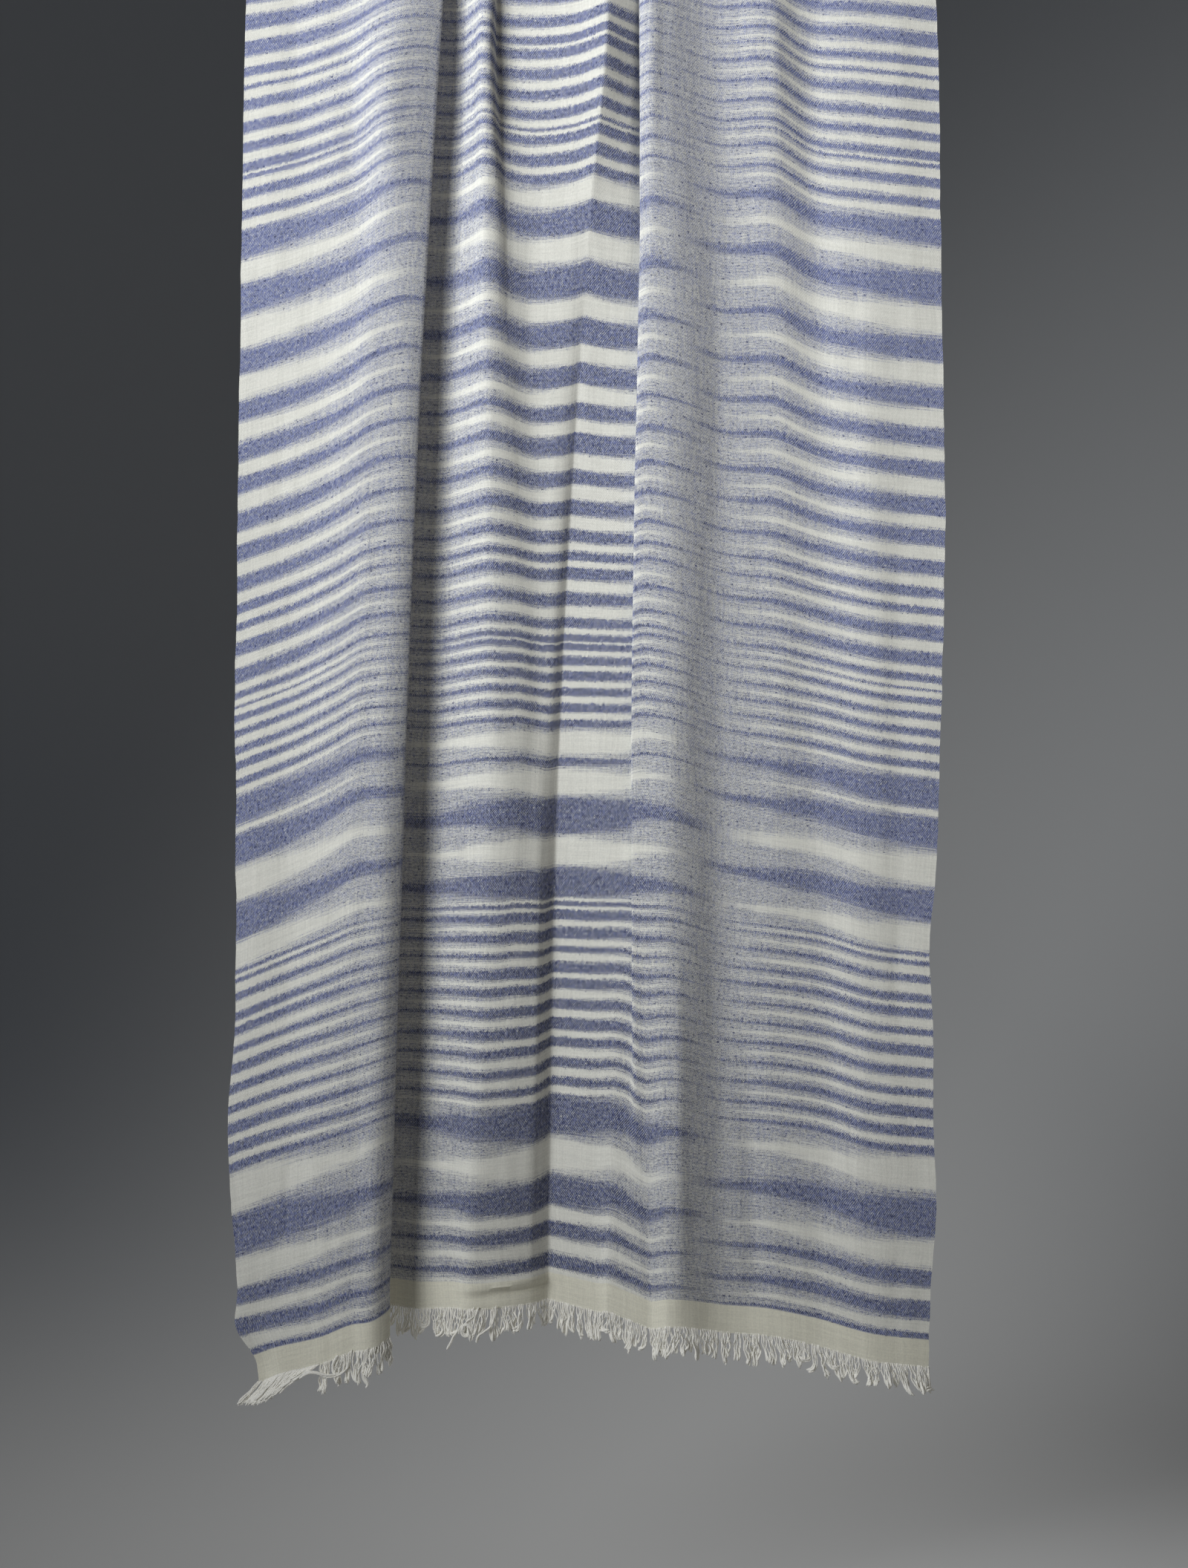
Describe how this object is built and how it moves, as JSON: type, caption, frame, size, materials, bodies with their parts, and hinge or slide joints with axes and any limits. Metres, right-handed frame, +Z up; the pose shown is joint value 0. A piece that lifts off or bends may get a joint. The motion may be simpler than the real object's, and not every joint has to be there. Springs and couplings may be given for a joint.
{
  "type": "striped woven stole draped over a wooden rod",
  "caption": "Blue and white striped handwoven stole with fringed ends, folded over a plain round wooden rod and hanging in soft folds.",
  "frame": {"origin": "middle of the rod's axis, where the stole is held up", "axes": "+X along the rod to the right as seen from the front, +Y towards the back, +Z up; the long fall faces -Y"},
  "size_m": [0.76, 0.0799, 1.2306],
  "materials": {
    "striped_cloth": "matt fine twill of cream warp and space-dyed blue and cream weft, in uneven cross stripes that fade to heather",
    "fringe_yarn": "undyed cream warp ends, twisted and curly",
    "rod_wood": "plain oiled beech with fine lengthwise grain"
  },
  "bodies": {
    "root": {"front_fall": "striped_cloth", "over_rod": "striped_cloth", "back_fall": "striped_cloth", "fringe_front": "fringe_yarn", "fringe_back": "fringe_yarn", "rod": "rod_wood"}
  },
  "joints": []
}
